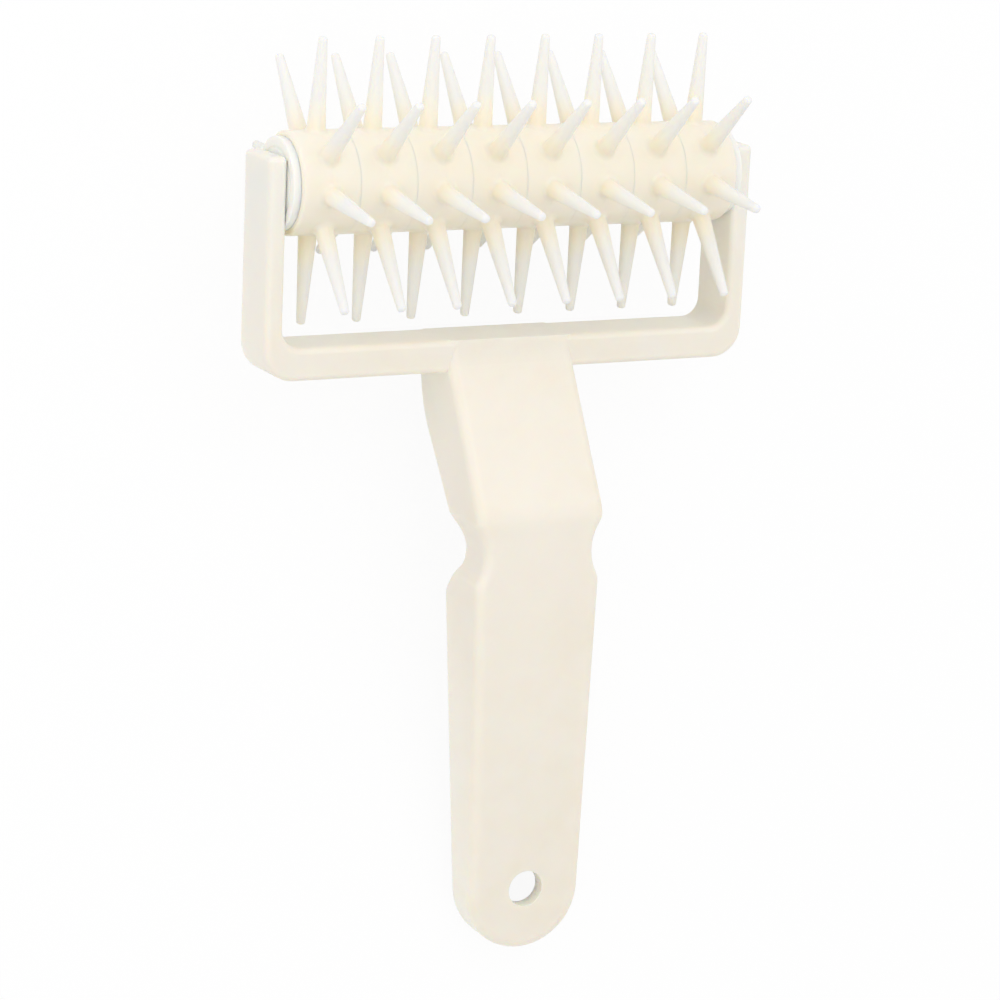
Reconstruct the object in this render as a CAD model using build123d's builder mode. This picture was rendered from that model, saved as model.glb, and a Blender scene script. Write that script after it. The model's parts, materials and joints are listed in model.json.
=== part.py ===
from build123d import *
from math import acos, asin, atan2, cos, degrees, radians, sin, sqrt, tan
import os

# Dough docker: a spiked roller that spins between the arms of a one-piece yoke and handle.
# X runs along the roller, -Y towards the end of the handle, +Z up.
# It lies as on a table: two rows of spikes and the end of the grip touch Z = 0.

# Driving dimensions, in millimetres and degrees

# spiked rings
ring_count = 8
spikes_per_ring = 8
ring_width = 14.0
hub_radius = 12.0
hub_edge_chamfer = 0.25
hub_end_radius = 0.9
spike_reach = 33.8
spike_root_radius = 2.15
spike_tip_radius = 1.0
spike_foot_flare = 0.5
spike_foot_height = 0.9

# core tube that the rings slide on, and the caps that close its ends
core_flats = 13.0
core_bore_radius = 4.2
core_corner_radius = 0.8
ring_on_core_clearance = 0.1
cap_flange_radius = 10.7
cap_flange_thickness = 1.8
cap_flange_chamfer = 0.3
cap_plug_length = 11.0
cap_plug_clearance = 0.04
cap_plug_lead = 0.6
journal_radius = 3.6
journal_engagement = 2.2
journal_clearance = 0.08
journal_lead = 0.4
end_float = 0.2

# arms and crossbar of the yoke
arm_thickness = 4.5
socket_floor = 1.7
yoke_depth = 15.0
arm_above_axis = 7.0
bar_below_axis = 36.8
bar_thickness = 7.7
yoke_outer_corner = 7.5
yoke_inner_corner = 4.5
arm_top_corner = 1.2
yoke_front_radius = 1.5
yoke_back_radius = 1.0

# neck and grip of the yoke; distances run from the roller's axis along the tool
grip_end = 181.8
grip_raise = 27.5
bend_distance = 74.5
bend_radius = 10.0
neck_front_distance = 40.0
neck_front_radius = 11.0
neck_back_distance = 53.0
neck_back_radius = 26.0
notch_depth = 11.5
notch_start_distance = 82.5
notch_floor_length = 5.5
notch_corner_radius = 5.0
shoulder_depth = 17.4
shoulder_slope_length = 7.5
shoulder_back_radius = 4.0
end_depth = 8.8
neck_half_width = 16.2
neck_flare_half_width = 16.6
shoulder_half_width = 16.3
grip_end_radius = 14.6
waist_distance = 84.2
waist_half_width = 14.1
waist_radius = 12.0
waist_corner_radius = 3.0
shoulder_corner_radius = 4.5
grip_wall = 3.5
front_edge_radius = 2.4
back_edge_radius = 0.6
rib_thickness = 1.8
rib_height = 6.0
rib_count = 4
rib_first_distance = 104.0
rib_spacing = 17.0
hole_distance = 166.5
hole_radius = 4.4

cut_overrun = 2.0

# Sizes that follow

spike_step = 360 / spikes_per_ring
tip_circle = spike_reach - spike_tip_radius
roller_length = ring_count * ring_width
yoke_inner_width = roller_length + 2 * (cap_flange_thickness + end_float)
yoke_width = yoke_inner_width + 2 * arm_thickness
half_depth = yoke_depth / 2
bar_bottom = bar_below_axis + bar_thickness
end_back = grip_raise - end_depth
notch_end_distance = notch_start_distance + notch_floor_length
shoulder_distance = notch_end_distance + shoulder_slope_length

# The roller stands on two rows of spikes, half a step each side of straight down.
axis_height = tip_circle * cos(radians(spike_step / 2)) + spike_tip_radius
row_reach = axis_height

# The handle sinks about the roller until the back edge of the grip's end meets the table.
edge_along = grip_end - back_edge_radius
back_slope = atan2(shoulder_depth - end_depth, grip_end - shoulder_distance)
edge_below = end_back + back_edge_radius * (1 / cos(back_slope) - tan(back_slope))
tilt = degrees(asin((axis_height - back_edge_radius) / sqrt(edge_along**2 + edge_below**2)))
tilt += degrees(atan2(edge_below, edge_along))
tilt_cos = cos(radians(tilt))
tilt_sin = sin(radians(tilt))

# The origin is under the middle of the whole outline.
far_end = (grip_end - front_edge_radius) * tilt_cos + (grip_raise - front_edge_radius) * tilt_sin
far_end += front_edge_radius
axis_y = (far_end - row_reach) / 2

# Planes of the tool: face looks out of the grip's front, side looks along the roller.
axis_origin = (0, axis_y, axis_height)
face_plane = Plane(origin=axis_origin, x_dir=(1, 0, 0), z_dir=(0, -tilt_sin, tilt_cos))
side_plane = Plane(origin=axis_origin, x_dir=(0, tilt_cos, tilt_sin), z_dir=(1, 0, 0))
roller_plane = Plane(origin=axis_origin, x_dir=(0, 1, 0), z_dir=(1, 0, 0))
face_axis = Axis(axis_origin, (0, -tilt_sin, tilt_cos))

os.makedirs("parts", exist_ok=True)


def save(piece, name):
    piece.part.label = name
    export_step(piece.part, f"parts/{name}.step")
    box = piece.part.bounding_box()
    print(f"{name:16s} {box.size.X:7.2f} {box.size.Y:7.2f} {box.size.Z:7.2f}")


# Spiked rings
# One spike is turned about its own length, from inside the hub to a round tip.
spike_root = sqrt(hub_radius**2 - (spike_root_radius + spike_foot_flare) ** 2)
spike_lean = asin((spike_root_radius - spike_tip_radius) / (tip_circle - spike_root))
with BuildPart() as spike:
    with BuildSketch(Plane.XZ):
        with BuildLine():
            foot_radius = spike_root_radius + spike_foot_flare
            foot_base = (foot_radius, spike_root - spike_foot_height)
            foot_rim = (foot_radius, spike_root)
            foot_top = (spike_root_radius, spike_root + spike_foot_height)
            tip_side = (
                spike_tip_radius * cos(spike_lean),
                tip_circle + spike_tip_radius * sin(spike_lean),
            )
            Polyline((0, foot_base[1]), foot_base, foot_rim, foot_top, tip_side)
            ThreePointArc(
                tip_side,
                (
                    spike_tip_radius * sin(radians(45)),
                    tip_circle + spike_tip_radius * cos(radians(45)),
                ),
                (0, spike_reach),
            )
            Line((0, spike_reach), (0, foot_base[1]))
        make_face()
    revolve(axis=Axis.Z)

# The rings meet with fine chamfers, and the roller's two ends are rounded.
for number in range(ring_count):
    ring_start = number * ring_width - roller_length / 2
    ring_plane = roller_plane.offset(ring_start)
    with BuildPart() as ring:
        with BuildSketch(ring_plane):
            Circle(hub_radius)
        extrude(amount=ring_width)
        for end, outermost in ((0, number == 0), (-1, number == ring_count - 1)):
            rim = ring.edges().filter_by(GeomType.CIRCLE).sort_by(Axis.X)[end]
            if outermost:
                fillet(rim, hub_end_radius)
            else:
                chamfer(rim, hub_edge_chamfer)
        with Locations(ring_plane.offset(ring_width / 2)):
            with PolarLocations(0, spikes_per_ring, start_angle=spike_step / 2):
                add(spike.part, rotation=(0, 90, 0))
        with BuildSketch(ring_plane):
            RegularPolygon(core_flats / 2 + ring_on_core_clearance, 6, major_radius=False)
        extrude(amount=ring_width, mode=Mode.SUBTRACT)
    save(ring, f"spiked_ring_{number + 1}")

# Core tube: a six-sided tube through all the rings, so that they turn together.
core_plane = roller_plane.offset(-roller_length / 2)
with BuildPart() as core:
    with BuildSketch(core_plane) as core_section:
        RegularPolygon(core_flats / 2, 6, major_radius=False)
        fillet(core_section.vertices(), core_corner_radius)
        Circle(core_bore_radius, mode=Mode.SUBTRACT)
    extrude(amount=roller_length)
save(core, "core_tube")

# End caps: a plug in the core tube, a flange against the end ring and a journal in the arm.
journal_length = end_float + journal_engagement
for side, name in ((-1, "end_cap_left"), (1, "end_cap_right")):
    flange_plane = Plane(
        origin=(side * roller_length / 2, axis_y, axis_height), x_dir=(0, 1, 0), z_dir=(side, 0, 0)
    )
    with BuildPart() as cap:
        with BuildSketch(flange_plane):
            Circle(cap_flange_radius)
        extrude(amount=cap_flange_thickness)
        chamfer(cap.edges().filter_by(GeomType.CIRCLE), cap_flange_chamfer)
        with BuildSketch(flange_plane.offset(cap_flange_thickness)):
            Circle(journal_radius)
        extrude(amount=journal_length)
        chamfer(cap.edges().sort_by(Axis.X)[0 if side < 0 else -1], journal_lead)
        with BuildSketch(flange_plane):
            Circle(core_bore_radius - cap_plug_clearance)
        extrude(amount=-cap_plug_length)
        chamfer(cap.edges().sort_by(Axis.X)[-1 if side < 0 else 0], cap_plug_lead)
    save(cap, name)

# Yoke and handle, one moulding
# Hollow behind the face of the neck and grip, with low ribs across it
neck_rise = atan2(grip_raise - half_depth, bend_distance - neck_front_distance)
wall_shift = grip_wall * tan(neck_rise / 2)


# Front view of the neck and grip: a neck that widens a little, a waist, then a taper onto the round end
end_centre = grip_end - grip_end_radius
taper_reach = sqrt(shoulder_half_width**2 + (end_centre - waist_distance) ** 2)
touch = atan2(end_centre - waist_distance, shoulder_half_width) - acos(grip_end_radius / taper_reach)
touch_x = grip_end_radius * cos(touch)
touch_y = grip_end_radius * sin(touch) - end_centre
waist_centre = waist_half_width + waist_radius
with BuildSketch() as grip_outline:
    with BuildLine():
        Polyline(
            (touch_x, touch_y),
            (shoulder_half_width, -waist_distance),
            (neck_flare_half_width, -waist_distance),
            (neck_half_width, -bar_below_axis),
            (-neck_half_width, -bar_below_axis),
            (-neck_flare_half_width, -waist_distance),
            (-shoulder_half_width, -waist_distance),
            (-touch_x, touch_y),
        )
        ThreePointArc((-touch_x, touch_y), (0, -grip_end), (touch_x, touch_y))
    make_face()
    with Locations((-waist_centre, -waist_distance), (waist_centre, -waist_distance)):
        Circle(waist_radius, mode=Mode.SUBTRACT)
    fillet(grip_outline.vertices().sort_by(Axis.Y)[4:6], waist_corner_radius)
    fillet(grip_outline.vertices().sort_by(Axis.Y)[2:4], shoulder_corner_radius)

with BuildPart() as hollow:
    with BuildSketch(side_plane):
        with BuildLine():
            inner_face = grip_raise - grip_wall
            slope_start = half_depth + (bar_bottom - neck_front_distance) * tan(neck_rise)
            slope_start -= grip_wall / cos(neck_rise)
            behind = -half_depth - cut_overrun
            Polyline(
                (-bar_bottom, slope_start),
                (-bend_distance - wall_shift, inner_face),
                (-grip_end, inner_face),
                (-grip_end, behind),
                (-bar_bottom, behind),
                close=True,
            )
        make_face()
    extrude(amount=yoke_width / 2, both=True)
    with BuildSketch(face_plane):
        add(grip_outline.sketch)
        offset(amount=-grip_wall, mode=Mode.REPLACE)
    extrude(amount=grip_raise + cut_overrun, both=True, mode=Mode.INTERSECT)
    with BuildSketch(face_plane.offset(inner_face - rib_height)):
        for number in range(rib_count):
            with Locations((0, -rib_first_distance - number * rib_spacing)):
                Rectangle(yoke_width, rib_thickness)
    extrude(amount=rib_height + cut_overrun, mode=Mode.SUBTRACT)


def corner_at(sketch, distance, height):
    return sketch.vertices().sort_by_distance((-distance, height))[0]


def rim_edges(piece, direction):
    facing = piece.faces().filter_by(lambda face: face.normal_at().dot(direction) > cos(radians(45)))
    return facing.edges().filter_by(Axis.X, reverse=True)


# Neck and grip: the side view, cut to the front view
notch_face = grip_raise - notch_depth
shoulder_face = grip_raise - shoulder_depth
with BuildPart() as grip:
    with BuildSketch(side_plane) as grip_side:
        with BuildLine():
            Polyline(
                (-bar_below_axis, half_depth),
                (-neck_front_distance, half_depth),
                (-bend_distance, grip_raise),
                (-grip_end, grip_raise),
                (-grip_end, end_back),
                (-shoulder_distance, shoulder_face),
                (-notch_end_distance, notch_face),
                (-notch_start_distance, notch_face),
                (-neck_back_distance, -half_depth),
                (-bar_below_axis, -half_depth),
                close=True,
            )
        make_face()
        fillet(corner_at(grip_side, neck_front_distance, half_depth), neck_front_radius)
        fillet(corner_at(grip_side, neck_back_distance, -half_depth), neck_back_radius)
        fillet(corner_at(grip_side, bend_distance, grip_raise), bend_radius)
        for distance in (notch_start_distance, notch_end_distance):
            fillet(corner_at(grip_side, distance, notch_face), notch_corner_radius)
        fillet(corner_at(grip_side, shoulder_distance, shoulder_face), shoulder_back_radius)
    extrude(amount=yoke_width / 2, both=True)
    with BuildSketch(face_plane):
        add(grip_outline.sketch)
    extrude(amount=grip_raise + cut_overrun, both=True, mode=Mode.INTERSECT)
    fillet(rim_edges(grip, face_axis.direction), front_edge_radius)
    fillet(rim_edges(grip, -face_axis.direction), back_edge_radius)

with BuildPart() as yoke:
    with BuildSketch(face_plane) as frame_outline:
        with Locations((0, (arm_above_axis - bar_bottom) / 2)):
            Rectangle(yoke_width, arm_above_axis + bar_bottom)
        with Locations((0, (arm_above_axis + cut_overrun - bar_below_axis) / 2)):
            Rectangle(
                yoke_inner_width,
                arm_above_axis + cut_overrun + bar_below_axis,
                mode=Mode.SUBTRACT,
            )
        fillet(frame_outline.vertices().group_by(Axis.Y)[1], yoke_inner_corner)
        fillet(frame_outline.vertices().group_by(Axis.Y)[0], yoke_outer_corner)
        fillet(frame_outline.vertices().group_by(Axis.Y)[-1], arm_top_corner)
    extrude(amount=half_depth, both=True)
    fillet(yoke.edges().group_by(face_axis)[-1], yoke_front_radius)
    fillet(yoke.edges().group_by(face_axis)[0], yoke_back_radius)
    add(grip.part)
    add(hollow.part, mode=Mode.SUBTRACT)
    with BuildSketch(face_plane.offset(inner_face)):
        with Locations((0, -hole_distance)):
            Circle(hole_radius)
    extrude(amount=grip_wall, mode=Mode.SUBTRACT)
    for side in (-1, 1):
        socket_plane = Plane(
            origin=(side * yoke_inner_width / 2, axis_y, axis_height), x_dir=(0, 1, 0), z_dir=(side, 0, 0)
        )
        with BuildSketch(socket_plane):
            Circle(journal_radius + journal_clearance)
        extrude(amount=arm_thickness - socket_floor, mode=Mode.SUBTRACT)
save(yoke, "yoke_handle")
print(f"tilt {tilt:.2f} deg, axis at y {axis_y:.2f}, z {axis_height:.2f}, yoke width {yoke_width:.2f}")
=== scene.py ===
import json
from math import atan2, cos, pi, radians, sin, sqrt
from typing import NamedTuple

import bmesh
import bpy
from mathutils import Matrix, Vector


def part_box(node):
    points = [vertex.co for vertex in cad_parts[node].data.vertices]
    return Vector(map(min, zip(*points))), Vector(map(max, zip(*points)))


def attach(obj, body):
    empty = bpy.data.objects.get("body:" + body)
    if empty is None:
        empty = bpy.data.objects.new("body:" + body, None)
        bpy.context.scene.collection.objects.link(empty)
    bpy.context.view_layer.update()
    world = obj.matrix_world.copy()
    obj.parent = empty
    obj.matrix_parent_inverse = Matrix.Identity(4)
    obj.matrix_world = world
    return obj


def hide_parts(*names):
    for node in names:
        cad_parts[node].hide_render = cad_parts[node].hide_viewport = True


bl_info = {
    "name": "Dough docker",
    "version": (1, 0, 0),
    "blender": (4, 5, 0),
    "location": "3D View > Sidebar > Docker",
    "description": "Dresses the dough docker: spiked rings, end caps, core, yoke with handle, and its stage",
    "category": "Object",
}

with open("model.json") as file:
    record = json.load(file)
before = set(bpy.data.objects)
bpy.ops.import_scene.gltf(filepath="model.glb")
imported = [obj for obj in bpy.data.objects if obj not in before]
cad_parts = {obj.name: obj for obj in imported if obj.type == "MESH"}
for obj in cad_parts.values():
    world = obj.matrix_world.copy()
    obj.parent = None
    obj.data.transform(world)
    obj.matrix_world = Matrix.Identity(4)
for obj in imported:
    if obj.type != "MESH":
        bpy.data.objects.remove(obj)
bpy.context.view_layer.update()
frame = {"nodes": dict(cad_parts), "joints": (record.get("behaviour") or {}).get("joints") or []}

RING_NODES = sorted(node for node in frame["nodes"] if node.startswith("spiked_ring_"))
SPIN = frame["joints"][0]
AXIS_CENTRE = Vector(SPIN["pos_m"])
RING_LOW, RING_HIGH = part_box(RING_NODES[0])
RING_WIDTH = RING_HIGH.x - RING_LOW.x
SPIKES = 8
SPIKE_STEP = 2 * pi / SPIKES
CAD_TIP_RADIUS = 0.001
SPIKE_REACH = ((RING_HIGH.z - RING_LOW.z) / 2 - CAD_TIP_RADIUS) / cos(SPIKE_STEP / 2) + CAD_TIP_RADIUS
ROLLER_ENDS = (
    (-1, "end_cap_left", RING_NODES[0]),
    (1, "end_cap_right", RING_NODES[-1]),
)

MELD_DISTANCE = 0.000002
SHARES_FROM_RIM = (-1.0, -0.8, -0.58, -0.36, -0.15)
SHARES_TO_SPIKE = (0.0, 0.3, 0.55, 0.78, 0.92, 1.0)
SHARES_TO_BORE = (0.3, 0.6, 1.0)
STEPS_ACROSS = 9
FILLET_STEPS = 5
SHANK_STEPS = 9
TIP_STEPS = 6
RIM_STEPS = 6
CORNER_STEPS = 5
DEGREES_PER_STEP = 5
CAP_SECTORS = 96

CLOUD_SCALE = 38.0
FLOW_SCALE = 160.0
GLOSS_SCALE = 90.0
PEEL_SCALE = 1500.0
SCUFF_SCALE = 2600.0
CLOUD_TINT = (0.985, 0.968, 0.93)
FLOW_TINT = (1.01, 1.012, 1.03)
FLOW_SHARE = 0.6
GLOSS_CHANGE = (-0.03, 0.04)
GLOSS_SPAN = (0.2, 0.8)
PEEL_STRENGTH = 0.08
RELIEF = 0.00005
SCUFF_STRENGTH = 0.08
SCUFF_SPAN = (0.62, 0.72)
SCUFF_STRETCH = (1.0, 0.04, 1.0)
SCUFF_TURN = radians(9.0)
# Painted bounce light: ambient occlusion samples, and the occlusion range over which a crevice's colour
# takes the glow tint.
BOUNCE_PAINT_SAMPLES = 8
BOUNCE_PAINT_SPAN = (0.2, 0.95)
YOKE_BOUNCE_PAINT_SPAN = (0.3, 1.0)
LIGHT_UNDER_SKIN = 0.75
LIGHT_COLOUR_REACH = (1.0, 0.76, 0.48)
PLASTIC_IOR = 1.5

# Glow tints for painted bounce light, multiplied into the colour in crevices: lighter, and warmer where blue
# is held back.
HUB_PAINTED_BOUNCE = (1.10, 1.04, 0.90)
SPIKE_PAINTED_BOUNCE = (1.24, 1.2, 1.06)
CAP_PAINTED_BOUNCE = (1.1, 1.1, 1.06)
CORE_PAINTED_BOUNCE = (1.05, 1.03, 0.97)
YOKE_PAINTED_BOUNCE = (1.16, 1.17, 1.17)
# Where along a spike the spike look takes over: its greyer painted colour for light through the thin ends,
# its glow tint, roughness and light depth.
SPIKE_SPAN = (0.0, 0.4)
# Where along the tool the arms' paler painted colour takes over; it stands in for light coming through the
# thin arms.
ARM_PAINTED_LIGHT_SPAN = (0.03, 0.07)

FLOOR_COLOUR = (0.9, 0.9, 0.9, 1.0)
FLOOR_ROUGHNESS = 0.9
FLOOR_WHITE_SHARE = 0.92
WORLD_LIGHT = 0.85
WORLD_SEEN = 1.0
LAMP_AIM = (0.0, 0.06, 0.03)
CAMERA_AIM = (-0.00381, 0.0002, 0.02311)
CAMERA_DIRECTION = (0.4439, 0.0032, -0.8961)
SENSOR_WIDTH = 36.0
VIEW_LIMIT = 20.0


class DockerRingSizes(bpy.types.PropertyGroup):
    """Sizes of one spiked ring."""

    hub_radius: bpy.props.FloatProperty(
        name="Hub radius", description="Outer radius of the ring between its spikes",
        default=0.012, unit="LENGTH",
    )
    root_radius: bpy.props.FloatProperty(
        name="Spike root", description="Radius of a spike just above its root fillet",
        default=0.00215, unit="LENGTH",
    )
    tip_radius: bpy.props.FloatProperty(
        name="Spike tip", description="Radius of a spike where its blunt tip starts",
        default=0.00104, unit="LENGTH",
    )
    tip_height: bpy.props.FloatProperty(
        name="Tip height", description="Height of the blunt dome on the end of a spike",
        default=0.0008, unit="LENGTH",
    )
    tip_setback: bpy.props.FloatProperty(
        name="Tip setback", description="How much shorter the blunt spikes are, to stand on the same table",
        default=0.00009, unit="LENGTH",
    )
    tip_squareness: bpy.props.FloatProperty(
        name="Tip squareness", description="2 makes the tip an ellipse, and more makes it flatter",
        default=2.5, min=2.0, max=6.0,
    )
    root_fillet: bpy.props.FloatProperty(
        name="Root fillet", description="Radius of the fillet between a spike and the hub",
        default=0.0011, unit="LENGTH",
    )
    rim_round: bpy.props.FloatProperty(
        name="Rim rounding", description="Rounding of the rims where two rings meet, and of the bore",
        default=0.00004, unit="LENGTH",
    )
    end_round: bpy.props.FloatProperty(
        name="End rounding", description="Rounding of the rim at each end of the roller",
        default=0.0009, unit="LENGTH",
    )
    bore_flats: bpy.props.FloatProperty(
        name="Bore flats", description="Distance across the flats of the six-sided bore",
        default=0.0132, unit="LENGTH",
    )
    seam_height: bpy.props.FloatProperty(
        name="Seam height", description="How far the mould's parting seam stands proud",
        default=0.00003, unit="LENGTH",
    )
    seam_width: bpy.props.FloatProperty(
        name="Seam width", description="Width of the parting seam over the hub and along the spikes",
        default=0.0003, unit="LENGTH",
    )


class DockerCapSizes(bpy.types.PropertyGroup):
    """Sizes of one end cap."""

    flange_radius: bpy.props.FloatProperty(
        name="Flange radius", description="Radius of the disc between the roller and the arm",
        default=0.0107, unit="LENGTH",
    )
    flange_thickness: bpy.props.FloatProperty(
        name="Flange thickness", description="Thickness of that disc, which all but touches the arm",
        default=0.00193, unit="LENGTH",
    )
    plug_radius: bpy.props.FloatProperty(
        name="Plug radius", description="Radius of the plug inside the core tube",
        default=0.00416, unit="LENGTH",
    )
    plug_lead: bpy.props.FloatProperty(
        name="Plug lead", description="Length of the tapered end of the plug",
        default=0.0006, unit="LENGTH",
    )
    journal_radius: bpy.props.FloatProperty(
        name="Journal radius", description="Radius of the journal that turns in the arm",
        default=0.0036, unit="LENGTH",
    )
    rim_round: bpy.props.FloatProperty(
        name="Rim rounding", description="Rounding of the disc's edge on the side of the arm",
        default=0.00025, unit="LENGTH",
    )
    edge_round: bpy.props.FloatProperty(
        name="Edge rounding", description="Rounding of the cap's other edges",
        default=0.00025, unit="LENGTH",
    )
    groove_radius: bpy.props.FloatProperty(
        name="Groove radius", description="Radius of the shallow ring sunk into the disc's outer face",
        default=0.0082, unit="LENGTH",
    )
    groove_width: bpy.props.FloatProperty(
        name="Groove width", description="Width of that ring",
        default=0.0009, unit="LENGTH",
    )
    groove_depth: bpy.props.FloatProperty(
        name="Groove depth", description="Depth of that ring",
        default=0.00018, unit="LENGTH",
    )


class DockerFinish(bpy.types.PropertyGroup):
    """Colours and gloss of the plastics."""

    ivory: bpy.props.FloatVectorProperty(
        name="Ivory", description="Colour of the yoke and handle",
        default=(0.86, 0.815, 0.726), subtype="COLOR", size=3,
    )
    # The arms' colour is painted paler and greyer in place of the light that comes through them.
    arm_painted_light_ivory: bpy.props.FloatVectorProperty(
        name="Arm ivory", description="Colour of the yoke's thin arms, which let light through",
        default=(0.837, 0.813, 0.75), subtype="COLOR", size=3,
    )
    ring_ivory: bpy.props.FloatVectorProperty(
        name="Ring ivory", description="Colour of the hubs of the spiked rings",
        default=(0.895, 0.845, 0.748), subtype="COLOR", size=3,
    )
    # The spike ends' colour is painted greyer in place of the light that passes through them.
    spike_tip_painted_light: bpy.props.FloatVectorProperty(
        name="Spike tip", description="Colour of the spikes' thin ends, which let light through",
        default=(0.785, 0.78, 0.77), subtype="COLOR", size=3,
    )
    cap_white: bpy.props.FloatVectorProperty(
        name="Cap white", description="Colour of the end caps",
        default=(0.87, 0.855, 0.82), subtype="COLOR", size=3,
    )
    core_ivory: bpy.props.FloatVectorProperty(
        name="Core ivory", description="Colour of the core tube",
        default=(0.84, 0.80, 0.70), subtype="COLOR", size=3,
    )
    roughness: bpy.props.FloatProperty(
        name="Roughness", description="Mean roughness of the moulded plastic",
        default=0.36, min=0.0, max=1.0, subtype="FACTOR",
    )
    hub_roughness: bpy.props.FloatProperty(
        name="Hub roughness", description="Mean roughness of the rings' hubs",
        default=0.3, min=0.0, max=1.0, subtype="FACTOR",
    )
    spike_roughness: bpy.props.FloatProperty(
        name="Spike roughness", description="Mean roughness of the spikes",
        default=0.6, min=0.0, max=1.0, subtype="FACTOR",
    )
    # Reach of the painted bounce light: surfaces nearer than this lighten and warm the colour in place of
    # bounced light.
    bounce_paint_reach: bpy.props.FloatProperty(
        name="Crevice reach", description="How near other surfaces must be to warm a surface's colour",
        default=0.03, unit="LENGTH",
    )
    hub_depth: bpy.props.FloatProperty(
        name="Hub light depth", description="How deep light goes under the skin of a ring's hub",
        default=0.0005, unit="LENGTH",
    )
    spike_depth: bpy.props.FloatProperty(
        name="Spike light depth", description="How deep light goes into the spikes",
        default=0.006, unit="LENGTH",
    )
    wall_depth: bpy.props.FloatProperty(
        name="Wall light depth", description="How deep light goes into the yoke and the caps",
        default=0.002, unit="LENGTH",
    )


class DockerStage(bpy.types.PropertyGroup):
    """Where the camera stands, and the floor."""

    camera_distance: bpy.props.FloatProperty(
        name="Camera distance", description="Distance from the camera to the aim point",
        default=0.7929, unit="LENGTH",
    )
    camera_lens: bpy.props.FloatProperty(
        name="Lens", description="Focal length on a 36 mm sensor, in millimetres",
        default=121.6,
    )
    camera_roll: bpy.props.FloatProperty(
        name="Roll", description="Turn of the camera about its line of sight",
        default=radians(4.54), subtype="ANGLE",
    )
    floor_size: bpy.props.FloatProperty(
        name="Floor size", description="Side of the square floor",
        default=6.0, unit="LENGTH",
    )


def sizes():
    """The scene's settings of the docker."""
    return bpy.context.scene.docker


def link_piece(mesh, name):
    """Puts a finished bmesh into the scene as a smooth-shaded object."""
    bmesh.ops.recalc_face_normals(mesh, faces=mesh.faces)
    data = bpy.data.meshes.new(name)
    mesh.to_mesh(data)
    mesh.free()
    data.shade_smooth()
    piece = bpy.data.objects.new(name, data)
    bpy.context.scene.collection.objects.link(piece)
    return piece


def bridge(mesh, loops):
    """Joins closed loops of equally many vertices with quads."""
    for lower, upper in zip(loops, loops[1:]):
        count = len(lower)
        for here in range(count):
            after = (here + 1) % count
            mesh.faces.new((lower[here], lower[after], upper[after], upper[here]))


def close_with_fan(mesh, loop, middle):
    """Closes a loop with triangles to one vertex."""
    for here, after in zip(loop, loop[1:] + loop[:1]):
        mesh.faces.new((here, after, middle))


def new_material(name):
    """An empty node material: returns it, its node tree and its principled shader."""
    material = bpy.data.materials.new(name)
    material.use_nodes = True
    tree = material.node_tree
    tree.nodes.clear()
    output = tree.nodes.new("ShaderNodeOutputMaterial")
    shader = tree.nodes.new("ShaderNodeBsdfPrincipled")
    tree.links.new(shader.outputs["BSDF"], output.inputs["Surface"])
    return material, tree, shader


def noise(tree, coordinates, scale, detail=2.0):
    """A noise texture on the given coordinates; returns its height output."""
    node = tree.nodes.new("ShaderNodeTexNoise")
    node.inputs["Scale"].default_value = scale
    node.inputs["Detail"].default_value = detail
    tree.links.new(coordinates, node.inputs["Vector"])
    return node.outputs["Fac"]


def spread(tree, value, low, high, from_low=0.3, from_high=0.7):
    """Maps a value from one range to another, and holds it at the ends."""
    node = tree.nodes.new("ShaderNodeMapRange")
    node.inputs["From Min"].default_value = from_low
    node.inputs["From Max"].default_value = from_high
    node.inputs["To Min"].default_value = low
    node.inputs["To Max"].default_value = high
    tree.links.new(value, node.inputs["Value"])
    return node.outputs["Result"]


def mix_colours(tree, share, first, second, blend="MIX"):
    """Mixes two colours, each an RGB value or an output."""
    node = tree.nodes.new("ShaderNodeMix")
    node.data_type = "RGBA"
    node.blend_type = blend
    tree.links.new(share, node.inputs["Factor"])
    for socket, value in ((node.inputs["A"], first), (node.inputs["B"], second)):
        if isinstance(value, bpy.types.NodeSocket):
            tree.links.new(value, socket)
        else:
            socket.default_value = (*value, 1.0)
    return node.outputs["Result"]


class Look(NamedTuple):
    """One look of the plastic. Glow is painted bounce light: a tint multiplied into the colour where other
    surfaces are near, in place of light that bounces about in a crevice.
    """

    colour: tuple
    roughness: float
    depth: float
    glow: tuple


class Change(NamedTuple):
    """Where a piece takes on another look: a value that varies over it, and the range of the change."""

    source: str
    span: tuple
    look: Look


def place_value(tree, source):
    """A value that varies over a piece: its named vertex value, or the place along the tool."""
    if source == "lengthways":
        split = tree.nodes.new("ShaderNodeSeparateXYZ")
        tree.links.new(tree.nodes.new("ShaderNodeTexCoord").outputs["Object"], split.inputs["Vector"])
        return split.outputs["Y"]
    stored = tree.nodes.new("ShaderNodeAttribute")
    stored.attribute_name = source
    return stored.outputs["Fac"]


def calculate(tree, operation, first, second):
    """A sum, product or maximum of two values, the second of which may be a plain number."""
    node = tree.nodes.new("ShaderNodeMath")
    node.operation = operation
    tree.links.new(first, node.inputs[0])
    if isinstance(second, float):
        node.inputs[1].default_value = second
    else:
        tree.links.new(second, node.inputs[1])
    return node.outputs["Value"]


def bump(tree, height, strength, before=None):
    """A bump from a height, on top of an earlier bump if there is one; returns its normal output."""
    node = tree.nodes.new("ShaderNodeBump")
    node.inputs["Strength"].default_value = strength
    node.inputs["Distance"].default_value = RELIEF
    tree.links.new(height, node.inputs["Height"])
    if before is not None:
        tree.links.new(before, node.inputs["Normal"])
    return node.outputs["Normal"]


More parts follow.
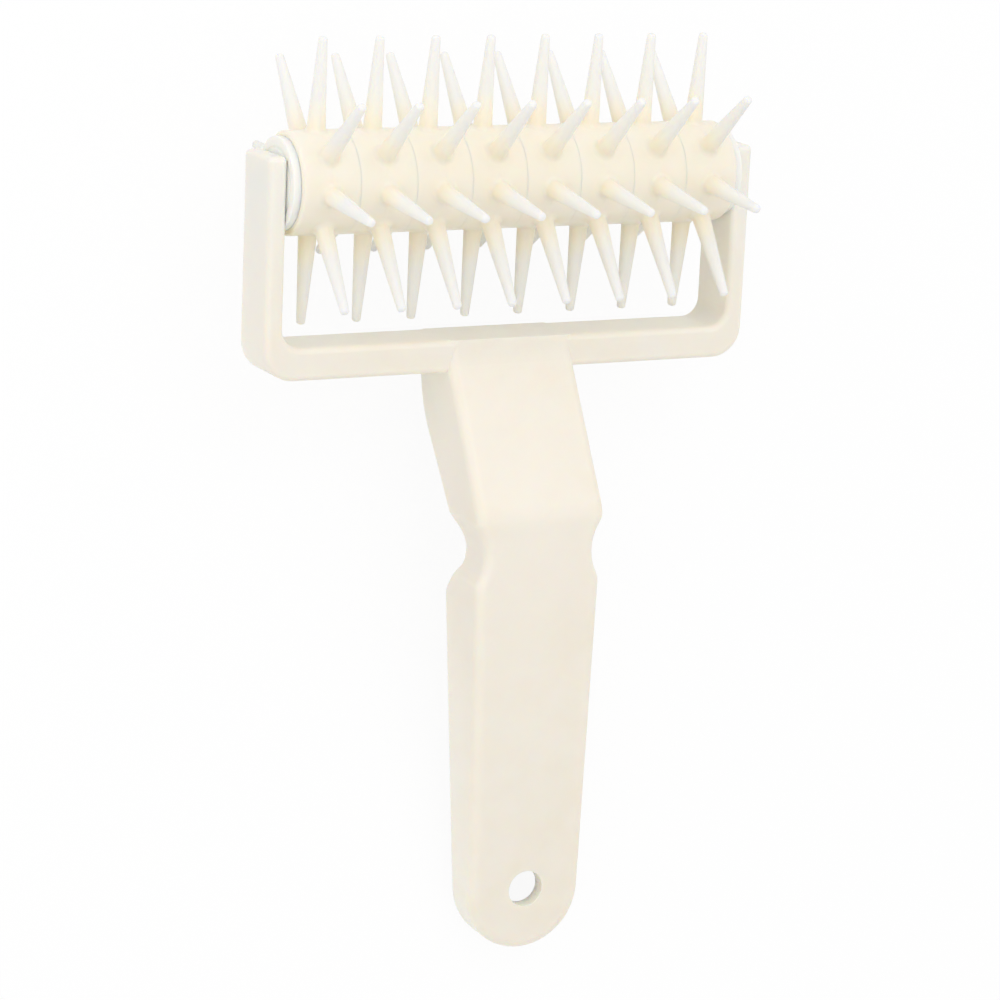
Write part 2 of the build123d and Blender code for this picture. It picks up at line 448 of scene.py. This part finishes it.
def moulded_plastic(name, look, change=None, scuffs=False, bounce_paint_span=BOUNCE_PAINT_SPAN):
    """Satin moulded plastic: cloudy colour, fine orange peel, uneven gloss, light under the skin, and
    painted bounce light that lightens and warms the colour in crevices.
    """
    material, tree, shader = new_material(name)
    where = tree.nodes.new("ShaderNodeTexCoord").outputs["Object"]

    def tinted(tint):
        """The look's colour with each channel times a share."""
        return tuple(min(1.0, channel * share) for channel, share in zip(look.colour, tint))

    clouds = spread(tree, noise(tree, where, CLOUD_SCALE, detail=4.0), 0.0, 1.0)
    tone = mix_colours(tree, clouds, tuple(look.colour), tinted(CLOUD_TINT))
    flow = spread(tree, noise(tree, where, FLOW_SCALE), 0.0, FLOW_SHARE)
    tone = mix_colours(tree, flow, tone, tinted(FLOW_TINT))
    gloss = noise(tree, where, GLOSS_SCALE)
    glossier, duller = (look.roughness + step for step in GLOSS_CHANGE)
    rough = spread(tree, gloss, glossier, duller, *GLOSS_SPAN)
    glow = look.glow
    if change is not None:
        value = place_value(tree, change.source)
        taken = spread(tree, value, 0.0, 1.0, *change.span)
        tone = mix_colours(tree, taken, tone, tuple(change.look.colour))
        glow = mix_colours(tree, taken, look.glow, change.look.glow)
        if change.look.roughness != look.roughness:
            more = spread(tree, value, 0.0, change.look.roughness - look.roughness, *change.span)
            rough = calculate(tree, "ADD", rough, more)
    # Painted bounce light: where ambient occlusion finds other surfaces near, the colour is multiplied by
    # the glow tint.
    crevice_occlusion = tree.nodes.new("ShaderNodeAmbientOcclusion")
    crevice_occlusion.samples = BOUNCE_PAINT_SAMPLES
    crevice_occlusion.inputs["Distance"].default_value = sizes().finish.bounce_paint_reach
    painted_bounce_share = spread(tree, crevice_occlusion.outputs["AO"], 1.0, 0.0, *bounce_paint_span)
    tree.links.new(mix_colours(tree, painted_bounce_share, tone, glow, "MULTIPLY"), shader.inputs["Base Color"])
    tree.links.new(rough, shader.inputs["Roughness"])

    surface = bump(tree, noise(tree, where, PEEL_SCALE), PEEL_STRENGTH)
    if scuffs:
        stretch = tree.nodes.new("ShaderNodeMapping")
        stretch.inputs["Scale"].default_value = SCUFF_STRETCH
        stretch.inputs["Rotation"].default_value = (0.0, 0.0, SCUFF_TURN)
        tree.links.new(where, stretch.inputs["Vector"])
        lines = noise(tree, stretch.outputs["Vector"], SCUFF_SCALE, detail=1.0)
        surface = bump(tree, spread(tree, lines, 0.0, 1.0, *SCUFF_SPAN), SCUFF_STRENGTH, before=surface)
    tree.links.new(surface, shader.inputs["Normal"])

    shader.inputs["IOR"].default_value = PLASTIC_IOR
    shader.inputs["Subsurface Weight"].default_value = LIGHT_UNDER_SKIN
    shader.inputs["Subsurface Radius"].default_value = LIGHT_COLOUR_REACH
    shader.inputs["Subsurface Scale"].default_value = look.depth
    if change is not None and change.look.depth != look.depth:
        depth = spread(tree, value, look.depth, change.look.depth, *change.span)
        tree.links.new(depth, shader.inputs["Subsurface Scale"])
    return material


def paint(piece, material):
    """Gives a piece one material."""
    piece.data.materials.clear()
    piece.data.materials.append(material)


def spike_patch(mesh, share_layer, centre, turn, rounds):
    """One eighth of a ring's outside: its stretch of hub, the root fillet, the spike and its blunt tip.

    The patch starts at the border of that stretch and closes in loops up to the tip. Rounds are the
    roundings of the hub's two rims, which lie outside the patch.
    """
    ring = sizes().ring
    half_turn = SPIKE_STEP / 2
    low_reach, high_reach = (RING_WIDTH / 2 - rounding for rounding in rounds)
    tip_end = SPIKE_REACH - ring.tip_setback
    tip_start = tip_end - ring.tip_height

    def vertex(side, along, height, share):
        """A vertex at a sideways, lengthways and radial place on this spike."""
        across_y = height * cos(turn) - side * sin(turn)
        across_z = height * sin(turn) + side * cos(turn)
        made = mesh.verts.new(Vector((along, across_y, across_z)) + centre)
        made[share_layer] = share
        return made

    seam = ring.seam_width / 2
    across = [half_turn * (2 * step / STEPS_ACROSS - 1) for step in range(STEPS_ACROSS + 1)]
    lengthways = [low_reach * share for share in SHARES_FROM_RIM] + [-seam, 0.0, seam]
    lengthways += [-high_reach * share for share in reversed(SHARES_FROM_RIM)]
    edge_side = ring.hub_radius * sin(half_turn)
    border = [(edge_side, along) for along in lengthways]
    border += [(ring.hub_radius * sin(angle), high_reach) for angle in reversed(across[1:-1])]
    border += [(-edge_side, along) for along in reversed(lengthways)]
    border += [(ring.hub_radius * sin(angle), -low_reach) for angle in across[1:-1]]
    on_seam = [abs(along) < seam / 2 for side, along in border]
    bearings = [atan2(along, side) for side, along in border]

    loops = []
    foot = ring.root_radius + ring.root_fillet
    for share in SHARES_TO_SPIKE:
        loop = []
        for (side, along), bearing, raised in zip(border, bearings, on_seam):
            side_here = side + (foot * cos(bearing) - side) * share
            along_here = along + (foot * sin(bearing) - along) * share
            height = sqrt(ring.hub_radius**2 - side_here**2) + raised * ring.seam_height
            loop.append(vertex(side_here, along_here, height, 0.0))
        loops.append(loop)

    def spike_loop(radius, heights, share):
        """A loop about the spike, with the seam raised on both sides."""
        lift = ring.seam_height * (1.0 - share)
        loop = []
        for bearing, raised, height in zip(bearings, on_seam, heights):
            out = radius + raised * lift
            loop.append(vertex(out * cos(bearing), out * sin(bearing), height, share))
        return loop

    for step in range(1, FILLET_STEPS + 1):
        angle = pi / 2 * step / FILLET_STEPS
        radius = foot - ring.root_fillet * sin(angle)
        rise = ring.root_fillet * (1 - cos(angle))
        heights = [sqrt(ring.hub_radius**2 - (radius * cos(bearing)) ** 2) + rise for bearing in bearings]
        loops.append(spike_loop(radius, heights, 0.0))
    root_heights = heights
    for step in range(1, SHANK_STEPS + 1):
        share = step / SHANK_STEPS
        radius = ring.root_radius + (ring.tip_radius - ring.root_radius) * share
        heights = [height + (tip_start - height) * share for height in root_heights]
        loops.append(spike_loop(radius, heights, share))
    power = 2 / ring.tip_squareness
    for step in range(1, TIP_STEPS):
        angle = pi / 2 * step / TIP_STEPS
        height = tip_start + ring.tip_height * sin(angle) ** power
        loops.append(spike_loop(ring.tip_radius * cos(angle) ** power, [height] * len(border), 1.0))
    bridge(mesh, loops)
    close_with_fan(mesh, loops[-1], vertex(0.0, 0.0, tip_end, 1.0))


def ring_ends(mesh, centre, rounds):
    """The hub's rounded rims, its two end faces and the six-sided bore through it."""
    ring = sizes().ring
    directions = [radians(degrees) for degrees in range(0, 360, DEGREES_PER_STEP)]

    def loop(along, radius_at):
        """A loop about the ring's axis, with a radius for each direction."""
        made = []
        for angle in directions:
            radius = radius_at(angle)
            made.append(mesh.verts.new(centre + Vector((along, radius * cos(angle), radius * sin(angle)))))
        return made

    def hexagon(grow):
        """Radius of the bore in a direction, made larger by grow."""
        side = radians(60)
        return lambda angle: (ring.bore_flats / 2 + grow) / cos(angle % side - side / 2)

    for end, inset in zip((-1, 1), rounds):
        loops = []
        for step in range(RIM_STEPS + 1):
            angle = pi / 2 * step / RIM_STEPS
            radius = ring.hub_radius - inset * (1 - cos(angle))
            along = end * (RING_WIDTH / 2 - inset * (1 - sin(angle)))
            loops.append(loop(along, lambda direction, radius=radius: radius))
        face = end * RING_WIDTH / 2
        inner = hexagon(ring.rim_round)
        outer = ring.hub_radius - inset
        for share in SHARES_TO_BORE:
            loops.append(loop(face, lambda angle: outer + (inner(angle) - outer) * share))
        loops.append(loop(face - end * ring.rim_round, hexagon(0.0)))
        loops.append(loop(0.0, hexagon(0.0)))
        bridge(mesh, loops)


class DOCKER_OT_spiked_rings(bpy.types.Operator):
    """Build the eight spiked rings of the roller"""

    bl_idname = "docker.spiked_rings"
    bl_label = "Spiked rings"

    def execute(self, context):
        finish = sizes().finish
        ring = sizes().ring
        hub = Look(finish.ring_ivory, finish.hub_roughness, finish.hub_depth, HUB_PAINTED_BOUNCE)
        # The spikes' greyer painted colour stands in for light through their thin ends.
        spike = Look(finish.spike_tip_painted_light, finish.spike_roughness, finish.spike_depth, SPIKE_PAINTED_BOUNCE)
        plastic = moulded_plastic("ring_ivory", hub, Change("spike_share", SPIKE_SPAN, spike))
        for node in RING_NODES:
            rounds = (
                ring.end_round if node == RING_NODES[0] else ring.rim_round,
                ring.end_round if node == RING_NODES[-1] else ring.rim_round,
            )
            low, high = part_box(node)
            centre = Vector(((low.x + high.x) / 2, AXIS_CENTRE.y, AXIS_CENTRE.z))
            mesh = bmesh.new()
            share_layer = mesh.verts.layers.float.new("spike_share")
            for number in range(SPIKES):
                spike_patch(mesh, share_layer, centre, SPIKE_STEP * (number + 0.5), rounds)
            ring_ends(mesh, centre, rounds)
            bmesh.ops.remove_doubles(mesh, verts=mesh.verts, dist=MELD_DISTANCE)
            piece = link_piece(mesh, node.replace("spiked_ring", "ring_shell"))
            paint(piece, plastic)
            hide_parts(node)
            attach(piece, "roller")
        return {"FINISHED"}


def rounded_corner(before, corner, after, radius):
    """Points of a small curve that rounds one corner of a profile."""
    corner = Vector(corner)
    start = corner + (Vector(before) - corner).normalized() * radius
    end = corner + (Vector(after) - corner).normalized() * radius
    points = []
    for step in range(CORNER_STEPS + 1):
        share = step / CORNER_STEPS
        points.append(start.lerp(corner, share).lerp(corner.lerp(end, share), share))
    return points


def cap_profile(plug_end, journal_end):
    """Half section of a cap from the plug's tip to the journal's: distances from the roller's end, radii."""
    cap = sizes().cap
    face = cap.flange_thickness
    lead_radius = cap.plug_radius - cap.plug_lead / 2
    groove = (
        (face, cap.groove_radius + cap.groove_width / 2),
        (face - cap.groove_depth, cap.groove_radius + cap.groove_width / 4),
        (face - cap.groove_depth, cap.groove_radius - cap.groove_width / 4),
        (face, cap.groove_radius - cap.groove_width / 2),
    )
    corners = [
        ((plug_end, 0.0), 0.0),
        ((plug_end, lead_radius), cap.edge_round),
        ((plug_end + cap.plug_lead, cap.plug_radius), cap.edge_round),
        ((0.0, cap.plug_radius), cap.edge_round),
        ((0.0, cap.flange_radius), cap.edge_round / 4),
        ((face, cap.flange_radius), cap.rim_round),
        *((place, cap.groove_width / 10) for place in groove),
        ((face, cap.journal_radius), cap.edge_round / 2),
        ((journal_end, cap.journal_radius), cap.edge_round),
        ((journal_end, 0.0), 0.0),
    ]
    profile = [Vector(corners[0][0])]
    for (before, _), (corner, radius), (after, _) in zip(corners, corners[1:], corners[2:]):
        profile += rounded_corner(before, corner, after, radius)
    profile.append(Vector(corners[-1][0]))
    return profile


def turned_piece(name, centre, side, profile):
    """Turns a half section about the roller's axis; side says which way its distances run."""
    mesh = bmesh.new()
    angles = [2 * pi * sector / CAP_SECTORS for sector in range(CAP_SECTORS)]
    loops = []
    for distance, radius in profile[1:-1]:
        places = [Vector((side * distance, radius * cos(angle), radius * sin(angle))) for angle in angles]
        loops.append([mesh.verts.new(centre + place) for place in places])
    bridge(mesh, loops)
    for loop, (distance, _) in ((loops[0], profile[0]), (loops[-1], profile[-1])):
        close_with_fan(mesh, loop, mesh.verts.new(centre + Vector((side * distance, 0.0, 0.0))))
    return link_piece(mesh, name)


class DOCKER_OT_end_caps(bpy.types.Operator):
    """Build the two end caps of the roller"""

    bl_idname = "docker.end_caps"
    bl_label = "End caps"

    def execute(self, context):
        finish = sizes().finish
        look = Look(finish.cap_white, finish.roughness, finish.wall_depth, CAP_PAINTED_BOUNCE)
        plastic = moulded_plastic("cap_white", look)
        for side, node, end_ring in ROLLER_ENDS:
            low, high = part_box(node)
            ring_low, ring_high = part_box(end_ring)
            roller_end = max(-ring_low.x, ring_high.x)
            inner, outer = sorted((abs(low.x), abs(high.x)))
            profile = cap_profile(inner - roller_end, outer - roller_end)
            centre = Vector((side * roller_end, AXIS_CENTRE.y, AXIS_CENTRE.z))
            piece = turned_piece(node.replace("end_cap", "cap_disc"), centre, side, profile)
            paint(piece, plastic)
            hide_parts(node)
            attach(piece, "roller")
        return {"FINISHED"}


class DOCKER_OT_core_tube(bpy.types.Operator):
    """Finish the core tube inside the rings"""

    bl_idname = "docker.core_tube"
    bl_label = "Core tube"

    def execute(self, context):
        finish = sizes().finish
        look = Look(finish.core_ivory, finish.roughness, finish.hub_depth, CORE_PAINTED_BOUNCE)
        paint(frame["nodes"]["core_tube"], moulded_plastic("core_ivory", look))
        return {"FINISHED"}


class DOCKER_OT_yoke_handle(bpy.types.Operator):
    """Finish the yoke with its neck and grip"""

    bl_idname = "docker.yoke_handle"
    bl_label = "Yoke and handle"

    def execute(self, context):
        finish = sizes().finish
        body = Look(finish.ivory, finish.roughness, finish.wall_depth, YOKE_PAINTED_BOUNCE)
        # The arms get a paler painted colour in place of the light through them.
        arms = Change("lengthways", ARM_PAINTED_LIGHT_SPAN, body._replace(colour=finish.arm_painted_light_ivory))
        plastic = moulded_plastic("yoke_ivory", body, arms, scuffs=True, bounce_paint_span=YOKE_BOUNCE_PAINT_SPAN)
        paint(frame["nodes"]["yoke_handle"], plastic)
        return {"FINISHED"}


def stage_material():
    """Pale floor: white to the camera, with the tool's shadow kept."""
    material, tree, shader = new_material("stage_white")
    shader.inputs["Base Color"].default_value = FLOOR_COLOUR
    shader.inputs["Roughness"].default_value = FLOOR_ROUGHNESS
    shader.inputs["Specular IOR Level"].default_value = 0.0
    path = tree.nodes.new("ShaderNodeLightPath")
    seen = calculate(tree, "MAXIMUM", path.outputs["Is Camera Ray"], path.outputs["Is Glossy Ray"])
    seen = calculate(tree, "MAXIMUM", seen, path.outputs["Is Transmission Ray"])
    amount = calculate(tree, "MULTIPLY", seen, FLOOR_WHITE_SHARE)
    glow = tree.nodes.new("ShaderNodeEmission")
    glow.inputs["Strength"].default_value = 1.0
    blend = tree.nodes.new("ShaderNodeMixShader")
    output = tree.nodes["Material Output"]
    tree.links.new(amount, blend.inputs["Fac"])
    tree.links.new(shader.outputs["BSDF"], blend.inputs[1])
    tree.links.new(glow.outputs["Emission"], blend.inputs[2])
    tree.links.new(blend.outputs["Shader"], output.inputs["Surface"])
    return material


class Lamp(NamedTuple):
    """A rectangular area lamp that points at the roller."""

    name: str
    place: tuple
    width: float
    height: float
    power: float


LAMPS = (
    Lamp("key", (0.31, 0.285, 0.605), width=0.7, height=0.7, power=0.46),
    Lamp("back", (0.07, 0.48, 0.68), width=0.5, height=0.4, power=0.65),
    Lamp("fill", (-0.54, 0.35, 0.32), width=0.5, height=0.5, power=0.52),
    Lamp("front", (-0.36, -0.12, 0.56), width=0.5, height=0.4, power=0.30),
)


def add_floor(size):
    """The square floor that the tool lies on."""
    mesh = bmesh.new()
    bmesh.ops.create_grid(mesh, x_segments=1, y_segments=1, size=size / 2)
    floor = link_piece(mesh, "stage_floor")
    paint(floor, stage_material())


def add_world(scene):
    """Even white light from all around, and plain white for the camera."""
    world = bpy.data.worlds.new("stage_world")
    scene.world = world
    world.use_nodes = True
    tree = world.node_tree
    background = tree.nodes["Background"]
    path = tree.nodes.new("ShaderNodeLightPath")
    strength = tree.nodes.new("ShaderNodeMapRange")
    strength.inputs["To Min"].default_value = WORLD_LIGHT
    strength.inputs["To Max"].default_value = WORLD_SEEN
    tree.links.new(path.outputs["Is Camera Ray"], strength.inputs["Value"])
    tree.links.new(strength.outputs["Result"], background.inputs["Strength"])
    background.inputs["Color"].default_value = (1.0, 1.0, 1.0, 1.0)


def add_lamp(scene, lamp):
    """Puts one lamp in the scene."""
    light = bpy.data.lights.new(lamp.name, "AREA")
    light.shape = "RECTANGLE"
    light.size = lamp.width
    light.size_y = lamp.height
    light.energy = lamp.power
    holder = bpy.data.objects.new(lamp.name, light)
    holder.location = lamp.place
    holder.rotation_euler = (Vector(LAMP_AIM) - Vector(lamp.place)).to_track_quat("-Z", "Y").to_euler()
    scene.collection.objects.link(holder)


def add_camera(scene, settings):
    """The camera at the photo's viewing angle."""
    forward = Vector(CAMERA_DIRECTION).normalized()
    right = forward.cross(Vector((0.0, 1.0, 0.0))).normalized()
    up = right.cross(forward)
    turn = Matrix.Rotation(settings.camera_roll, 3, forward)
    camera = bpy.data.objects.new("camera", bpy.data.cameras.new("camera"))
    camera.data.lens = settings.camera_lens
    camera.data.sensor_width = SENSOR_WIDTH
    camera.data.clip_end = VIEW_LIMIT
    basis = Matrix((turn @ right, turn @ up, -forward)).transposed()
    place = Vector(CAMERA_AIM) - forward * settings.camera_distance
    camera.matrix_world = Matrix.Translation(place) @ basis.to_4x4()
    scene.collection.objects.link(camera)
    scene.camera = camera


class DOCKER_OT_stage(bpy.types.Operator):
    """Set up the floor, the light and the camera"""

    bl_idname = "docker.stage"
    bl_label = "Stage"

    def execute(self, context):
        settings = sizes().stage
        scene = context.scene
        add_floor(settings.floor_size)
        add_world(scene)
        for lamp in LAMPS:
            add_lamp(scene, lamp)
        add_camera(scene, settings)
        scene.view_settings.view_transform = "Standard"
        return {"FINISHED"}


class DockerSettings(bpy.types.PropertyGroup):
    """Everything that a user can set on the docker."""

    ring: bpy.props.PointerProperty(
        type=DockerRingSizes, name="Rings", description="Sizes of the spiked rings",
    )
    cap: bpy.props.PointerProperty(type=DockerCapSizes, name="Caps", description="Sizes of the end caps")
    finish: bpy.props.PointerProperty(type=DockerFinish, name="Finish", description="Colours and gloss")
    stage: bpy.props.PointerProperty(type=DockerStage, name="Stage", description="Camera and floor")


OPERATORS = (
    DOCKER_OT_yoke_handle,
    DOCKER_OT_core_tube,
    DOCKER_OT_end_caps,
    DOCKER_OT_spiked_rings,
    DOCKER_OT_stage,
)


class DOCKER_PT_panel(bpy.types.Panel):
    """The docker's pieces and stage in the sidebar"""

    bl_idname = "DOCKER_PT_panel"
    bl_label = "Dough docker"
    bl_space_type = "VIEW_3D"
    bl_region_type = "UI"
    bl_category = "Docker"

    def draw(self, context):
        for operator in OPERATORS:
            self.layout.operator(operator.bl_idname)


CLASSES = (
    DockerRingSizes,
    DockerCapSizes,
    DockerFinish,
    DockerStage,
    DockerSettings,
    *OPERATORS,
    DOCKER_PT_panel,
)


def register():
    """Makes the settings, operators and panel known to Blender."""
    for item in CLASSES:
        bpy.utils.register_class(item)
    bpy.types.Scene.docker = bpy.props.PointerProperty(type=DockerSettings)


def unregister():
    """Takes them away again."""
    del bpy.types.Scene.docker
    for item in reversed(CLASSES):
        bpy.utils.unregister_class(item)


def main():
    """Builds the whole scene."""
    register()
    bpy.ops.docker.yoke_handle()
    bpy.ops.docker.core_tube()
    bpy.ops.docker.end_caps()
    bpy.ops.docker.spiked_rings()
    bpy.ops.docker.stage()


if __name__ == "__main__":
    main()
